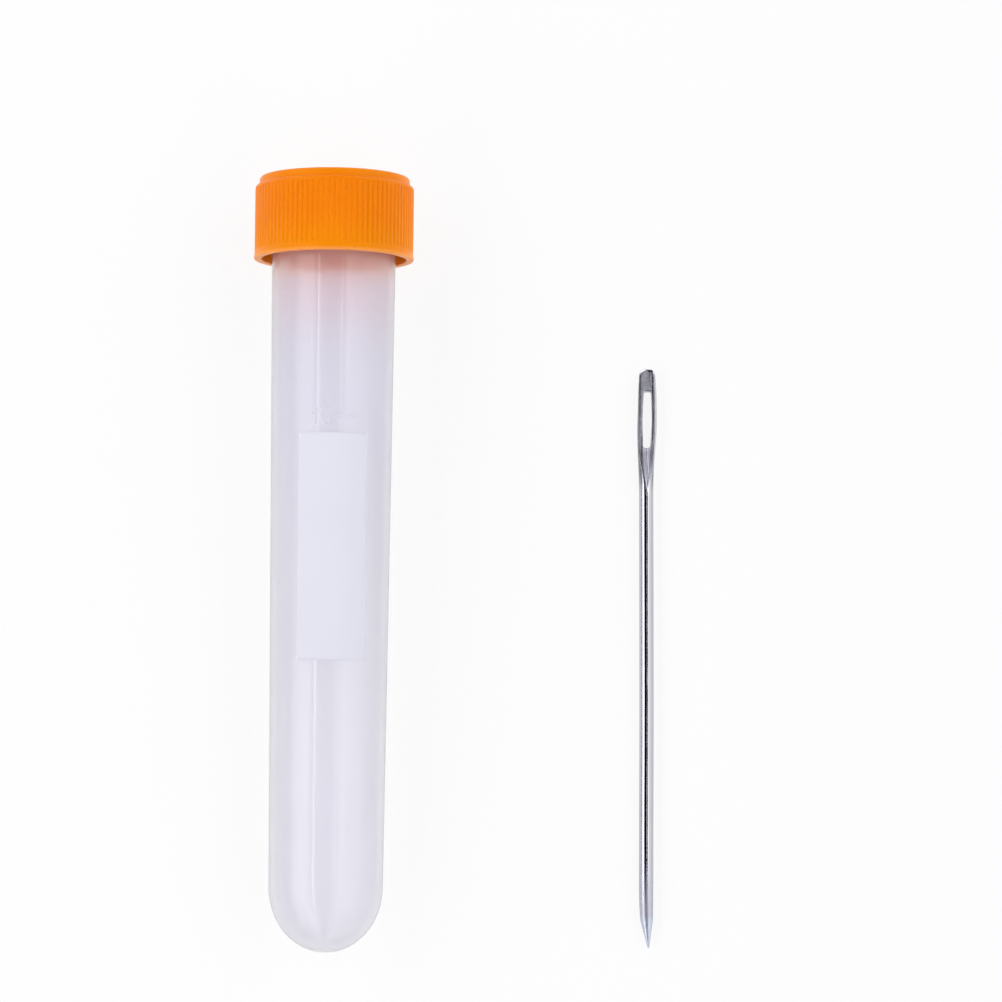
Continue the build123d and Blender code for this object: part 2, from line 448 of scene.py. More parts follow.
# %% Patch mesh
top_sheet, bottom_sheet = patch_grid(1.0), patch_grid(0.0)
sheet_index = np.arange(top_sheet[..., 0].size).reshape(top_sheet.shape[:2])
sheet_quads = np.stack(
    [sheet_index[:-1, :-1], sheet_index[:-1, 1:], sheet_index[1:, 1:], sheet_index[1:, :-1]], axis=-1
).reshape(-1, 4)
inner = np.zeros(sheet_index.shape, bool)
inner[1:-1, 1:-1] = True
under_index = np.where(inner, sheet_index + sheet_index.size, sheet_index).ravel()
under_quads = under_index[sheet_quads][:, ::-1]
patch_points = np.concatenate([top_sheet.reshape(-1, 3), bottom_sheet.reshape(-1, 3)])
used, renumbered = np.unique(np.concatenate([sheet_quads, under_quads]), return_inverse=True)
patch_points = placed(patch_points[used], tube_start, tube_axes)
patch_faces = [renumbered.reshape(-1, 4)]
writing_patch = mesh_piece("writing_film", patch_points, patch_faces, "tube", ["writing_patch"])

# %% [markdown]
# ## The needle
#
# A needle starts as drawn wire. One end is ground to a point, and the other is pressed flat and
# pierced, with a gutter leading into the eye on each side so that the yarn lies in the steel.
# Its two CAD nodes are one piece of steel, so one surface stands for both.
# At each height half of its section runs from one face, round the edge, to the other face, and
# beside the eye it starts at the eye's border in place of the middle. The press leans a little,
# so the left half and the right half are each worked out on their own.

# %% Sizes of the needle
needle_length = 76.3
shank = 0.95
nose, ball_top, ball_top_half = 0.122, 0.098, 0.1196
point_length, point_base = 3.7, 0.84
taper_blend = 6.0
head_low, round_low = 60.05, 75.4
top_arch, arch_power = needle_length - round_low, 2.3
eye_top, eye_bottom, eye_half = 73.3, 65.65, 0.615
eye_edge = 0.13
flat_half = 0.6
# How far up the head each station lies, and how much of the swelling it has.
head_shares = np.array([0, 0.12, 0.24, 0.38, 0.54, 0.7, 0.85, 1])
width_swell = np.array([0, 0.09, 0.34, 0.7, 1, 0.9, 0.74, 0.36])
width_stations = shank + (1.28 - shank) * width_swell
depth_stations = np.array([0.95, 0.936, 0.899, 0.845, 0.8, 0.792, 0.775, 0.75])
head_stations = head_low + (round_low - head_low) * head_shares


# %% Width and depth at every height
def smooth_through(at, stations, values):
    """Cubic curve through the stations, with the slope at each taken from its two neighbours."""
    slopes = np.gradient(values, stations)
    low = np.clip(np.searchsorted(stations, at) - 1, 0, len(stations) - 2)
    gap = stations[low + 1] - stations[low]
    t = (at - stations[low]) / gap
    value = (2 * t**3 - 3 * t**2 + 1) * values[low] + (3 * t**2 - 2 * t**3) * values[low + 1]
    return value + gap * ((t**3 - 2 * t**2 + t) * slopes[low] + (t**3 - t**2) * slopes[low + 1])


def half_size(height, stations):
    """Half the needle's width or depth: round nose, straight taper, shank, swollen head, arched top."""
    up_taper = np.clip((height - point_length) / taper_blend, 0.0, 1.0)
    ground = point_base + (shank - point_base) * (1 - (1 - up_taper) ** 2)
    point = np.interp(height, [ball_top, point_length], [ball_top_half, point_base])
    ground = np.where(height < point_length, point, ground)
    ball = np.sqrt(np.clip(nose**2 - (nose - height) ** 2, 0.0, None))
    head = smooth_through(np.clip(height, head_low, round_low), head_stations, stations)
    over = np.clip((height - round_low) / top_arch, 0.0, 1.0)
    top = stations[-1] * (1 - over**arch_power) ** (1 / arch_power)
    size = np.where(height < ball_top, ball, ground)
    size = np.where(height > head_low, head, size)
    return np.where(height > round_low, top, size)


# %% [markdown]
# ### Border of the eye
#
# The punch leaves an opening with nearly square ends, and its sides bulge like a barrel's. A high
# power draws the ends, and the rows crowd together there.

# %% Eye outline and its outward direction
end_power, end_edge = 40, 0.06
barrel_drop, barrel_power = 0.2, 1.3
eye_middle, eye_reach = (eye_top + eye_bottom) / 2, (eye_top - eye_bottom) / 2 + end_edge
eye_ends = np.cos(np.radians(np.linspace(0, 76, 11))) ** (2 / end_power)
eye_share = np.concatenate([-eye_ends, np.linspace(-0.88, 0.88, 25), eye_ends[::-1]])
barrel = 1 - barrel_drop * np.abs(eye_share) ** barrel_power
square_end = np.sqrt(np.clip(1 - np.abs(eye_share) ** end_power, 0.0, 1.0))
contour = np.stack(
    [(eye_half + eye_edge) * barrel * square_end, eye_middle + eye_reach * eye_share], axis=-1
)
slope = np.gradient(contour, axis=0)
outward = np.stack([slope[:, 1], -slope[:, 0]], axis=-1)
outward[0], outward[-1] = (0.0, -1.0), (0.0, 1.0)
outward = outward / np.linalg.norm(outward, axis=1, keepdims=True)

# %% Heights of the needle's rows
rows_above_eye, arch_rows = 20, 12
needle_heights = np.concatenate(
    [
        nose * (1 - np.cos(np.radians(np.linspace(0, 78, 7)))),
        np.linspace(0.4, point_length, 12),
        np.linspace(point_length + 0.15, 9.7, 14),
        np.linspace(12.0, 59.0, 24),
        np.linspace(59.2, contour[0, 1] - 0.12, 48),
        contour[:, 1],
        np.linspace(contour[-1, 1] + 0.08, round_low, rows_above_eye),
        round_low + top_arch * np.sin(np.radians(np.linspace(7, 84, arch_rows))),
        [needle_length],
    ]
)
shift_heights = [0, 1.05, 3.7, 6.3, 11.6, 30, 45.7, 57, 64.6, 68.8, 72, 75, needle_length]
shifts = [0, -0.08, -0.24, -0.29, -0.28, -0.19, -0.16, -0.155, -0.12, -0.01, 0.03, 0.02, 0]
centre_shift = smooth_through(needle_heights, np.array(shift_heights), np.array(shifts))
print("needle has", len(needle_heights), "rows; its middle bows", round(-centre_shift.min(), 2), "mm")

# %% [markdown]
# ### Face of the needle
#
# Seen from the side, each face is the lower of two shapes: the rounded wire, and the plane that
# the press left, which leans where it runs out below the eye. A soft minimum joins them with a
# small round edge. The gutter is then taken off: a rounded V that is wide and deep at the eye
# and runs out to a sharp end on the shank.

# %% Pressed flats and gutter
flat_lean, flat_round = 0.25, 0.018
gutter_low, gutter_half, gutter_depth = 60.35, 0.5, 0.3
gutter_shift, gutter_blunt = 0.15, 0.2


def face_depth(across, height):
    """Soft minimum of the oval wire and the pressed flat, less the gutter's V."""
    width = half_size(height, width_stations)
    depth = half_size(height, depth_stations)
    power = 2.0 + 1.3 * smooth_step(60.5, 66.0, height)
    reach = np.clip(np.abs(across) / np.maximum(width, 1e-6), 0.0, 1.0)
    oval = depth * np.clip(1 - reach**power, 0.0, 1.0) ** (1 / power)
    ramp = (shank - flat_half) / (eye_bottom - 0.5 - head_low)
    low_part = smooth_step(65.0, 62.0, height)
    flat = np.maximum(flat_half, shank - (height - head_low) * ramp) - flat_lean * low_part * across
    lower = -flat_round * np.logaddexp(-oval / flat_round, -flat / flat_round)
    lower = lower + flat_round * np.logaddexp(-(oval + flat) / flat_round, 0.0)
    lower = np.where(height > head_low - 1.0, np.minimum(lower, oval), oval)
    share = np.clip((height - gutter_low) / (eye_bottom - gutter_low), 0.0, 1.0)
    share = share * smooth_step(eye_bottom + 1.6, eye_bottom + 0.6, height)
    aside = (across - gutter_shift * low_part) / (gutter_half * share + 1e-6)
    vee = np.sqrt(1 + gutter_blunt) - np.sqrt(aside**2 + gutter_blunt)
    vee = np.clip(vee / (math.sqrt(1 + gutter_blunt) - math.sqrt(gutter_blunt)), 0.0, 1.0)
    on_flat = smooth_step(-0.02, 0.10, oval - flat) * smooth_step(head_low, head_low + 2.0, height)
    in_gutter = smooth_step(0.0, 0.3, vee) * smooth_step(0.0, 0.2, share)
    return np.clip(lower - gutter_depth * share * vee, 0.0, None), np.maximum(on_flat, in_gutter)


# %% [markdown]
# ### Skin and wall of the eye
#
# The skin is a grid of heights and of turns from one face to the other. The eye's wall is a
# second grid along the border, with a quarter round next to each face.

# %% Needle surface
eye_start = np.zeros(len(needle_heights))
after_eye = rows_above_eye + arch_rows + 1
eye_rows = slice(len(needle_heights) - after_eye - len(contour), len(needle_heights) - after_eye)
eye_start[eye_rows] = contour[:, 0]
turn = np.radians(np.linspace(0, 180, 81))
row_width = half_size(needle_heights, width_stations)
row_width[0] = row_width[-1] = 0.0
side_x = eye_start[:, None] + (row_width - eye_start)[:, None] * np.sin(turn)
side_z = np.broadcast_to(needle_heights[:, None], side_x.shape)
edge_turn = np.radians([0, 22.5, 45, 67.5, 90])
inset = eye_edge * (1 - np.sin(edge_turn))
drop = eye_edge * (1 - np.cos(edge_turn))
wall_inset = np.concatenate([inset, inset[::-1]])
wall_place = contour[:, None] - (eye_edge - wall_inset)[None, :, None] * outward[:, None]
wall_share = np.broadcast_to(0.5 * (1 - drop / eye_edge), (len(contour), len(drop)))
wall_share = np.concatenate([wall_share, wall_share[:, ::-1]], axis=1)


def half_needle(side):
    """Skin and eye wall on one side, 1 for right and -1 for left: x = side times distance out."""
    depth, pressed = face_depth(side * side_x, needle_heights[:, None])
    skin_y = depth * np.sign(np.cos(turn).round(9))
    skin_y[0] = skin_y[-1] = 0.0
    edge_depth, _ = face_depth(side * contour[:, 0], contour[:, 1])
    below_edge = edge_depth[:, None] - drop
    wall_y = np.concatenate([below_edge, -below_edge[:, ::-1]], axis=1)
    skin = np.stack([side * side_x, skin_y, side_z], axis=-1)
    wall = np.stack([side * wall_place[..., 0], wall_y, wall_place[..., 1]], axis=-1)
    return [skin, wall], [pressed.ravel(), wall_share.ravel()]


right_patches, right_shares = half_needle(1)
left_patches, left_shares = half_needle(-1)
print("needle skin", right_patches[0].shape, "eye wall", right_patches[1].shape)

# %% [markdown]
# ### Bevel and bow
#
# The press has caught the head's upper left corner and left a slanted facet. Lowering the points
# past a line across that corner is enough for it. Then every row moves aside by the wire's bow.

# %% Needle mesh
def open_faces(rows, columns, offset):
    """Quads between the neighbours of a grid that doesn't close on itself."""
    index = offset + np.arange(rows * columns).reshape(rows, columns)
    return np.stack([index[:-1, :-1], index[:-1, 1:], index[1:, 1:], index[1:, :-1]], -1).reshape(-1, 4)


bevel_x, bevel_z, bevel_fall = -0.9, 75.65, 0.75
bevel_normal = (-0.422, 0.907)
patches = right_patches + left_patches
offsets = np.cumsum([0] + [patch.shape[0] * patch.shape[1] for patch in patches])
needle_points = np.concatenate([patch.reshape(-1, 3) for patch in patches])
press_x, press_z = needle_points[:, 0].copy(), needle_points[:, 2].copy()
past_bevel = bevel_normal[1] * (press_z - bevel_z) + bevel_normal[0] * (press_x - bevel_x)
bevelled = (past_bevel > 0) & (needle_points[:, 1] < 0)
bevel_face = np.maximum(needle_points[:, 1], -flat_half + bevel_fall * past_bevel)
needle_points[:, 1] = np.where(bevelled, np.minimum(bevel_face, 0.0), needle_points[:, 1])
needle_points[:, 0] += np.interp(press_z, needle_heights, centre_shift)
needle_points = placed(needle_points, needle_start, needle_axes)
needle_faces = [open_faces(*patch.shape[:2], offset) for patch, offset in zip(patches, offsets)]
needle_nodes = ["needle_shank", "needle_head"]
needle = mesh_piece("steel_needle", needle_points, needle_faces, "needle", needle_nodes)

# %% [markdown]
# ### Painted reflections
#
# Dark lines along the head's edges and a dark spot on its top are painted reflections of the dark
# surroundings, and one side of the head is painted bright as a painted highlight. A few lines given
# by height, place and strength are enough. The values are stored on the mesh's points, where the
# steel's finish reads them.

# %% Lines, spot and bright side
line_half, line_core = 0.14, 0.04


def dark_reflection_line(heights, places, strengths):
    """Strength times a share that is 1 on the line and falls to 0 half a line's width away."""
    away = np.abs(press_x - np.interp(press_z, heights, places))
    return smooth_step(line_half, line_core, away) * np.interp(press_z, heights, strengths)


left_line = dark_reflection_line(
    [69.5, 70.8, 74, 74.8, 75.4, 75.7], [-0.99, -0.98, -1.0, -0.94, -0.87, -0.8], [0, 0.9, 1, 0.9, 0.8, 0]
)
right_line = dark_reflection_line(
    [66, 67, 70, 73.5, 75.6, 75.9], [0.70, 0.74, 0.75, 0.69, 0.67, 0.6], [0, 1.1, 1.2, 1.3, 1.1, 0]
)
inner_line = dark_reflection_line([73.9, 74.5, 75.6, 75.8], [0.28, 0.28, 0.30, 0.32], [0, 0.45, 0.7, 0])
low_line = dark_reflection_line([60.5, 62, 64, 67.2, 68], [-0.6, -0.6, -0.61, -0.62, -0.66], [0, 0.5, 0.9, 1, 0])
dark_reflection_spot = smooth_step(1.3, 0.7, np.hypot((press_x - 0.42) / 0.32, (press_z - 75.92) / 0.12))
# painted dark reflections: dark lines along the head's edges and a dark spot on its top
painted_dark_reflection = np.maximum.reduce([left_line, right_line, inner_line, low_line, 3.0 * dark_reflection_spot])
# painted highlight: the head's right side is made bright
painted_highlight_side = 0.6 * smooth_step(0.78, 1.1, press_x) * smooth_step(61, 63, press_z)
face_share = np.concatenate(right_shares + left_shares)
face_share = np.where(bevelled, face_share * smooth_step(0.05, 0.0, past_bevel), face_share)
for name, values in (("pressed", face_share), ("painted_dark_reflection", painted_dark_reflection), ("painted_highlight_side", painted_highlight_side)):
    attribute = needle.data.attributes.new(name, "FLOAT", "POINT")
    attribute.data.foreach_set("value", values.astype(np.float32))
# the strongest of the painted dark reflections
print("darkest press line:", round(float(painted_dark_reflection.max()), 2))

# %% [markdown]
# ### Closing the needle
#
# The grids share their border points. Welding what lies closer than two thousandths of a
# millimetre makes one closed skin, whose faces are then turned outward.

# %% Weld the seams
welded = bmesh.new()
welded.from_mesh(needle.data)
bmesh.ops.remove_doubles(welded, verts=welded.verts, dist=2e-6)
bmesh.ops.dissolve_degenerate(welded, edges=welded.edges, dist=1e-7)
bmesh.ops.recalc_face_normals(welded, faces=welded.faces)
open_edges = sum(1 for edge in welded.edges if not edge.is_manifold)
welded.to_mesh(needle.data)
welded.free()
print("needle has", open_edges, "open edges")

# %% [markdown]
# ## Shader helpers
#
# A material is a small network of nodes. A few helpers keep the recipes short: one places a node
# and fills its sockets, and another starts a node group, which is an effect with named inputs
# and outputs that several materials can share, each with its own values.

# %% Node helpers
def node(tree, kind, sockets=None, **settings):
    """Adds a node, sets its options, and fills its sockets with numbers or with links."""
    made = tree.nodes.new("ShaderNode" + kind)
    for key, value in settings.items():
        setattr(made, key, value)
    for key, value in (sockets or {}).items():
        if isinstance(value, bpy.types.NodeSocket):
            tree.links.new(value, made.inputs[key])
        else:
            made.inputs[key].default_value = value
    return made


def between(tree, share, low, high, start=0.0, end=1.0):
    """A number that goes from low to high as the share goes from start to end."""
    sockets = {"Value": share, "From Min": start, "From Max": end, "To Min": low, "To Max": high}
    return node(tree, "MapRange", sockets).outputs[0]


def effect(name, takes, gives):
    """Starts a node group and returns it with its input node's and its output node's sockets."""
    group = bpy.data.node_groups.new(name, "ShaderNodeTree")
    for label, start_value in takes.items():
        kind = "NodeSocketFloat" if isinstance(start_value, float) else "NodeSocketVector"
        group.interface.new_socket(name=label, in_out="INPUT", socket_type=kind)
    for label in gives:
        group.interface.new_socket(name=label, in_out="OUTPUT", socket_type="NodeSocketFloat")
    for item in group.interface.items_tree:
        if item.in_out == "INPUT":
            item.default_value = takes[item.name]
    given, taken = group.nodes.new("NodeGroupInput"), group.nodes.new("NodeGroupOutput")
    return group, given.outputs, taken.inputs


def use(tree, group, sockets=None):
    """Places a node group in a material, fills its inputs and returns its outputs."""
    return node(tree, "Group", sockets, node_tree=group).outputs


def material(name):
    """A new material and its empty network."""
    made = bpy.data.materials.new(name)
    made.use_nodes = True
    made.node_tree.nodes.clear()
    return made, made.node_tree


# %% [markdown]
# ## Shared effects
#
# `moulded_skin` is the faint unevenness of moulded plastic: a fine orange-peel height and a slow
# change of tone. `handling_marks` are the short hairline scratches of use. `along_axis` tells how
# far a point is along the tube or the needle, so that a finish can change on the way.
# `drawn_lines` are the fine lengthwise lines that a drawing die and a polishing belt leave on wire.

# %% Group: moulded skin
moulded_skin, given, taken = effect(
    "moulded_skin", {"Grain": 2600.0, "Patches": 90.0}, ["Height", "Tone"]
)
place = node(moulded_skin, "TexCoord").outputs["Object"]
fine = node(moulded_skin, "TexNoise", {"Vector": place, "Scale": given["Grain"], "Detail": 3.0})
slow = node(moulded_skin, "TexNoise", {"Vector": place, "Scale": given["Patches"], "Detail": 2.0})
moulded_skin.links.new(fine.outputs["Fac"], taken["Height"])
moulded_skin.links.new(slow.outputs["Fac"], taken["Tone"])

# %% Group: handling marks
handling_marks, given, taken = effect("handling_marks", {"Density": 260.0, "Amount": 0.5}, ["Mask"])
place = node(handling_marks, "TexCoord").outputs["Object"]
bent = node(handling_marks, "TexNoise", {"Vector": place, "Scale": 35.0, "Detail": 1.0})
turned_place = node(handling_marks, "VectorRotate", {"Vector": place, "Angle": bent.outputs["Fac"]})
stretched = node(
    handling_marks, "Mapping", {"Vector": turned_place.outputs[0], "Scale": (1.0, 0.05, 1.0)}
)
hairs = node(
    handling_marks,
    "TexNoise",
    {"Vector": stretched.outputs[0], "Scale": given["Density"], "Detail": 4.0, "Roughness": 0.7},
)
thin = between(handling_marks, hairs.outputs["Fac"], 0.0, 1.0, 0.62, 0.72)
part_way = node(handling_marks, "Math", {0: thin, 1: given["Amount"]}, operation="MULTIPLY")
handling_marks.links.new(part_way.outputs[0], taken["Mask"])

# %% Group: distance along an axis
along_axis, given, taken = effect(
    "along_axis",
    {"Start": (0.0, 0.0, 0.0), "Axis": (0.0, 1.0, 0.0), "Low": 0.09, "High": 0.1},
    ["Share"],
)
place = node(along_axis, "TexCoord").outputs["Object"]
from_start = node(along_axis, "VectorMath", {0: place, 1: given["Start"]}, operation="SUBTRACT")
far = node(
    along_axis, "VectorMath", {0: from_start.outputs[0], 1: given["Axis"]}, operation="DOT_PRODUCT"
)
share = node(
    along_axis,
    "MapRange",
    {"Value": far.outputs["Value"], "From Min": given["Low"], "From Max": given["High"]},
    interpolation_type="SMOOTHSTEP",
)
along_axis.links.new(share.outputs[0], taken["Share"])

# %% Group: drawn lines
drawn_lines, given, taken = effect("drawn_lines", {"Fineness": 9000.0}, ["Height", "Tone"])
place = node(drawn_lines, "TexCoord").outputs["Object"]
square_on = node(
    drawn_lines,
    "Mapping",
    {"Vector": place, "Rotation": (0.0, 0.0, math.radians(-0.57)), "Scale": (1.0, 0.012, 1.0)},
)
lines = node(
    drawn_lines,
    "TexNoise",
    {"Vector": square_on.outputs[0], "Scale": given["Fineness"], "Detail": 2.0},
)
broad = node(drawn_lines, "TexNoise", {"Vector": place, "Scale": 220.0, "Detail": 2.0})
drawn_lines.links.new(lines.outputs["Fac"], taken["Height"])
drawn_lines.links.new(broad.outputs["Fac"], taken["Tone"])
print("node groups:", sorted(group.name for group in bpy.data.node_groups))

# %% [markdown]
# ## Finishes
#
# Each material holds one Principled shader. Numbers that are the same all over the surface sit on
# the shader itself, and the groups bring what changes over it: tone, roughness and fine height.

# %% Helpers for a finish
def blend_colour(tree, share, plain, other):
    """One colour where the share is 0 and the other where it is 1."""
    mix = node(tree, "Mix", {"Factor": share}, data_type="RGBA")
    for socket, colour in ((mix.inputs[6], plain), (mix.inputs[7], other)):
        if isinstance(colour, bpy.types.NodeSocket):
            tree.links.new(colour, socket)
        else:
            socket.default_value = (*colour, 1.0)
    return mix.outputs[2]


def bumped(tree, height, depth):
    """A normal tilted by a height, with the depth in metres."""
    return node(tree, "Bump", {"Height": height, "Distance": depth, "Strength": 1.0}).outputs[0]


def stored(tree, name):
    """A value that the mesh keeps for each point."""
    return node(tree, "Attribute", None, attribute_name=name).outputs["Fac"]


def finish(piece, made, sockets):
    """Adds the material's one Principled shader and its output, and puts it on a piece."""
    shader = node(made.node_tree, "BsdfPrincipled", sockets)
    node(made.node_tree, "OutputMaterial", {"Surface": shader.outputs[0]})
    piece.data.materials.append(made)
    print(piece.name, "wears", made.name)


# %% Change of colour along a piece
tube_line = {"Start": tuple(tube_start * MM), "Axis": tuple(tube_axis)}
needle_line = {"Start": tuple(needle_start * MM), "Axis": tuple(needle_axis)}


def along(tree, line, low, high):
    """0 at the height low and 1 at the height high on a piece's axis, in metres from its start."""
    return use(tree, along_axis, {**line, "Low": low, "High": high})["Share"]


def tinted(tree, plain, low, high, other):
    """A colour that turns into another one between two heights on the tube's axis."""
    return blend_colour(tree, along(tree, tube_line, low, high), plain, other)


# %% [markdown]
# ### Orange plastic of the cap
#
# The colour goes right through the real plastic. Its thin lip is painted paler, a painted
# highlight where light catches the lip.
# The sheen is tinted, as a white one would grey the orange.

# %% Orange cap plastic
orange, tree = material("orange_moulding")
skin = use(tree, moulded_skin, {"Grain": 2400.0, "Patches": 120.0})
marks = use(tree, handling_marks, {"Density": 300.0, "Amount": 0.4})
cap_colour = blend_colour(tree, skin["Tone"], (0.90, 0.212, 0.001), (0.95, 0.238, 0.002))
# the skirt's lower half, the crown, and the lip painted paler as a painted highlight
cap_colour = tinted(tree, cap_colour, 0.0958, 0.0912, (0.93, 0.262, 0.001))
cap_colour = tinted(tree, cap_colour, 0.0996, 0.1003, (0.93, 0.25, 0.003))
cap_colour = tinted(tree, cap_colour, 0.0907, 0.0903, (0.97, 0.34, 0.06))
finish(screw_cap, orange, {
    "Base Color": cap_colour,
    "Roughness": between(tree, marks["Mask"], 0.42, 0.6),
    "Normal": bumped(tree, skin["Height"], 4e-6),
    "IOR": 1.49,
    "Specular Tint": (1.0, 0.45, 0.08, 1.0),
})

# %% [markdown]
# ### Frosted plastic of the tube
# The wall lets light through and scatters it. Transmission alone would show the table too clearly,
# so part of the wall is left out by its alpha. Where it is seen edge on, more plastic lies in the
# way: there the alpha rises, and the colour turns greyer as painted shade along the outline.
# Near the cap the wall is painted pink and salmon, as painted orange light from the cap.

# %% Frosted tube plastic
frosted, tree = material("frosted_moulding")
skin = use(tree, moulded_skin, {"Grain": 1800.0, "Patches": 60.0})
marks = use(tree, handling_marks, {"Density": 240.0, "Amount": 0.5})
wall_colour = blend_colour(tree, skin["Tone"], (0.925, 0.91, 0.99), (0.945, 0.935, 0.998))
# the upper half, then the neck and the ring under the hem, painted pink and salmon as
# painted orange light from the cap, and the part inside the cap
wall_colour = tinted(tree, wall_colour, 0.045, 0.078, (0.885, 0.87, 0.97))
wall_colour = tinted(tree, wall_colour, 0.0765, 0.0885, (0.905, 0.765, 0.85))
wall_colour = tinted(tree, wall_colour, 0.0865, 0.0890, (0.99, 0.64, 0.58))
wall_colour = tinted(tree, wall_colour, 0.0905, 0.0925, (0.89, 0.86, 0.95))
# painted shade: seen edge on, the wall's colour turns grey
facing = node(tree, "LayerWeight", {"Blend": 0.5}).outputs["Facing"]
edge_on = between(tree, facing, 0.0, 1.0, 0.66, 0.86)
finish(storage_tube, frosted, {
    "Base Color": blend_colour(tree, edge_on, wall_colour, (0.50, 0.49, 0.52)),
    "Roughness": between(tree, marks["Mask"], 0.36, 0.5),
    "Normal": bumped(tree, skin["Height"], 6e-6),
    "IOR": 1.4,
    "Transmission Weight": 0.6,
    "Alpha": between(tree, edge_on, 0.6, 0.95),
    "Coat Weight": 0.9,
    "Coat Roughness": 0.06,
})

# %% [markdown]
# ### Writing film and liner foam
#
# Both are plain and matt. The film takes ink because its surface is rough, and the foam's fine
# cells are only a stronger height than that of a moulded skin.

# %% Writing film
film, tree = material("matt_film")
skin = use(tree, moulded_skin, {"Grain": 3200.0, "Patches": 150.0})
finish(writing_patch, film, {
    "Base Color": blend_colour(tree, skin["Tone"], (0.76, 0.755, 0.84), (0.79, 0.785, 0.865)),
    "Roughness": between(tree, skin["Tone"], 0.62, 0.75),
    "Normal": bumped(tree, skin["Height"], 8e-6),
    "IOR": 1.45,
})

# %% Liner foam
foam, tree = material("liner_foam")
skin = use(tree, moulded_skin, {"Grain": 5200.0, "Patches": 200.0})
liner = frame["nodes"]["cap_liner"]
liner.data.materials.clear()
finish(liner, foam, {
    "Base Color": blend_colour(tree, skin["Height"], (0.72, 0.72, 0.70), (0.88, 0.88, 0.86)),
    "Roughness": between(tree, skin["Tone"], 0.75, 0.9),
    "Normal": bumped(tree, skin["Height"], 2e-5),
})

# %% [markdown]
# ### Steel of the needle
#
# Drawn wire is almost a mirror, and the ground point and the pressed head are softer. Shares
# along the needle keep them apart, and the values stored on the mesh say where the press was,
# where dark reflections are painted as dark lines, and where a painted highlight brightens one side.
# The painted dark lines are broken up by noise.

# %% Where each kind of steel lies
steel, tree = material("drawn_steel")
lines = use(tree, drawn_lines, {"Fineness": 9000.0})
marks = use(tree, handling_marks, {"Density": 500.0, "Amount": 0.5})
mottle = use(tree, moulded_skin, {"Grain": 5200.0, "Patches": 1400.0})
head = along(tree, needle_line, 0.0595, 0.0625)
ground = along(tree, needle_line, 0.0150, 0.0045)
tip = along(tree, needle_line, 0.0046, 0.0030)
top = along(tree, needle_line, 0.0752, 0.0757)
below_eye = along(tree, needle_line, 0.0662, 0.0650)
face = stored(tree, "pressed")

# %% Colours of the steel
drawn = blend_colour(tree, lines["Tone"], (0.48, 0.475, 0.505), (0.55, 0.545, 0.575))
blotch = between(tree, mottle["Tone"], 0.0, 1.0, 0.32, 0.68)
stamped = blend_colour(tree, blotch, (0.49, 0.485, 0.56), (0.79, 0.785, 0.88))
# painted shade: the pressed face below the eye, where the gutter runs, is darker
stamped = blend_colour(tree, below_eye, stamped, (0.40, 0.395, 0.455))
# painted reflections: the head's rounded edges are dark, and its arched top is light
rounded = blend_colour(tree, top, (0.26, 0.26, 0.285), (0.80, 0.80, 0.84))
head_colour = blend_colour(tree, face, rounded, stamped)
honed = blend_colour(tree, mottle["Tone"], (0.46, 0.46, 0.53), (0.54, 0.54, 0.61))
honed = blend_colour(tree, tip, honed, (0.56, 0.60, 0.69))
steel_colour = blend_colour(tree, head, drawn, head_colour)
steel_colour = blend_colour(tree, ground, steel_colour, honed)
# painted highlight on the head's right side
steel_colour = blend_colour(tree, stored(tree, "painted_highlight_side"), steel_colour, (0.80, 0.80, 0.87))
# painted dark reflections, broken up by noise, turn the steel nearly black
broken = {0: stored(tree, "painted_dark_reflection"), 1: between(tree, mottle["Height"], 0.3, 1.0, 0.38, 0.55)}
painted_dark_share = node(tree, "Math", broken, operation="MULTIPLY", use_clamp=True).outputs[0]
steel_colour = blend_colour(tree, painted_dark_share, steel_colour, (0.03, 0.03, 0.04))

# %% Polish of the steel
polish = between(tree, head, 0.042, between(tree, face, 0.22, 0.40))
polish = between(tree, ground, polish, 0.42)
rubbed = node(tree, "Math", {0: marks["Mask"], 1: 0.12, 2: polish}, operation="MULTIPLY_ADD")
finish(needle, steel, {
    "Base Color": steel_colour,
    "Metallic": 1.0,
    "Roughness": rubbed.outputs[0],
    "Normal": bumped(tree, lines["Height"], 1.0e-6),
})

# %% [markdown]
# ## Table and light
#
# The photograph was taken on a white table between two long soft lamps, with nothing bright
# straight above: the round shank mirrors two white bands with a dark stripe between them.
# The surroundings are painted by their angle round the tube's direction, which gives the metal
# those bands. They light a card to about four fifths of plain white, and the strip lamps further
# down bring the rest, so a colour renders about as it is written.
# The table glows where it is looked at, which keeps it white, and is matt for all other light.

# %% Table
table_glow = 0.88
table_mesh = bpy.data.meshes.new("table")
table_mesh.from_pydata([(-3, -3, 0), (3, -3, 0), (3, 3, 0), (-3, 3, 0)], [], [(0, 1, 2, 3)])
table = bpy.data.objects.new("table", table_mesh)
bpy.context.scene.collection.objects.link(table)
table_white, tree = material("table_white")
path = node(tree, "LightPath").outputs
seen = node(tree, "Math", {0: path["Is Camera Ray"], 1: path["Is Glossy Ray"]}, operation="MAXIMUM")
seen = node(tree, "Math", {0: seen.outputs[0], 1: path["Is Transmission Ray"]}, operation="MAXIMUM")
part_white = node(tree, "Math", {0: seen.outputs[0], 1: table_glow}, operation="MULTIPLY")
matt = node(tree, "BsdfDiffuse", {"Color": (0.96, 0.96, 0.96, 1.0)})
white = node(tree, "Emission", {"Color": (1.0, 1.0, 1.0, 1.0), "Strength": 1.0})
mixed = node(tree, "MixShader", {0: part_white.outputs[0], 1: matt.outputs[0], 2: white.outputs[0]})
node(tree, "OutputMaterial", {"Surface": mixed.outputs[0]})
table_mesh.materials.append(table_white)

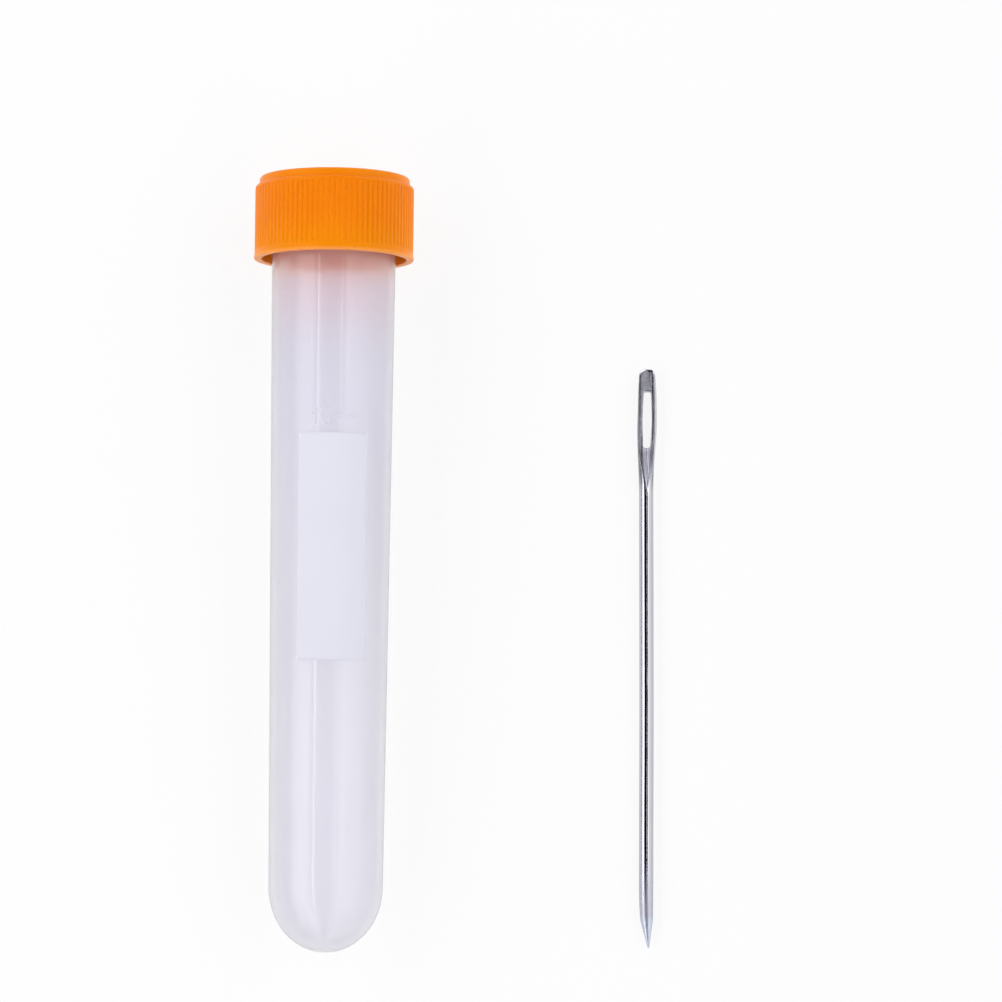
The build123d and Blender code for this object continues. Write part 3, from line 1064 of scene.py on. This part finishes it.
# %% Surroundings
world = bpy.data.worlds.new("studio")
bpy.context.scene.world = world
world.use_nodes = True
tree = world.node_tree
tree.nodes.clear()
direction = node(tree, "TexCoord").outputs["Generated"]
parts = node(tree, "SeparateXYZ", {0: direction}).outputs
angle = node(tree, "Math", {0: parts["X"], 1: parts["Z"]}, operation="ARCTAN2").outputs[0]
share = between(tree, angle, 0.0, 1.0, math.radians(-90), math.radians(90))
blue_tint = 1.03
bands = [
    (-90, 0.4), (-73, 0.5), (-69, 1.8), (-37, 2.05), (-32, 0.01),
    (24, 0.01), (28, 2.1), (35, 1.85), (41, 1.4), (60, 1.25), (90, 1.1),
]
sky = node(tree, "ValToRGB", {0: share})
ramp = sky.color_ramp
for degrees, level in bands[1:-1]:
    ramp.elements.new((degrees + 90) / 180)
for stop, (degrees, level) in zip(ramp.elements, bands):
    stop.position = (degrees + 90) / 180
    stop.color = (level, level, level * blue_tint, 1.0)
studio = node(tree, "Background", {"Color": sky.outputs[0], "Strength": 1.0})
plain = node(tree, "Background", {"Color": (1.0, 1.0, 1.0, 1.0), "Strength": 1.0})
path = node(tree, "LightPath").outputs
seen = node(tree, "Math", {0: path["Is Camera Ray"], 1: path["Is Transmission Ray"]}, operation="MAXIMUM")
mixed = node(tree, "MixShader", {0: seen.outputs[0], 1: studio.outputs[0], 2: plain.outputs[0]})
node(tree, "OutputWorld", {"Surface": mixed.outputs[0]})
degrees, levels = np.array(bands).T
fine_degrees = np.linspace(-90, 90, 721)
sky_levels = np.interp(fine_degrees, degrees, levels)
sky_sum = np.mean(sky_levels * np.cos(np.radians(fine_degrees))) * math.pi / 2
print("light on a level white card:", round(float(sky_sum), 3))

# %% [markdown]
# ### Two thin strip lamps
#
# The tube shows two soft light lines along its length, which the needle doesn't show in its dark
# stripe. So they come from narrow lamps that hang near: from the tube and from the needle such a
# lamp lies in different directions. An area light gives that, where the sky can't.

# %% Strip lamps
lamp_length = 0.5
tube_middle = tube_start[0] * MM


def strip_lamp(name, across, height, width, level):
    """A long narrow area light above the table, turned towards the tube."""
    lamp = bpy.data.lights.new(name, "AREA")
    lamp.shape, lamp.size, lamp.size_y = "RECTANGLE", width, lamp_length
    lamp.energy = level * math.pi * width * lamp_length
    holder = bpy.data.objects.new(name, lamp)
    bpy.context.scene.collection.objects.link(holder)
    holder.location = (tube_middle + across, 0.0, height)
    holder.rotation_euler = (0.0, math.atan2(across, height), 0.0)
    holder.visible_camera = False
    holder.visible_transmission = False
    print(name, "is", round(1000 * height), "mm above the table")


strip_lamp("strip_left", -0.0292, 0.076, 0.0024, 9.0)
strip_lamp("strip_right", 0.0945, 0.30, 0.0095, 4.5)

# %% Colour view
bpy.context.scene.view_settings.view_transform = "Standard"
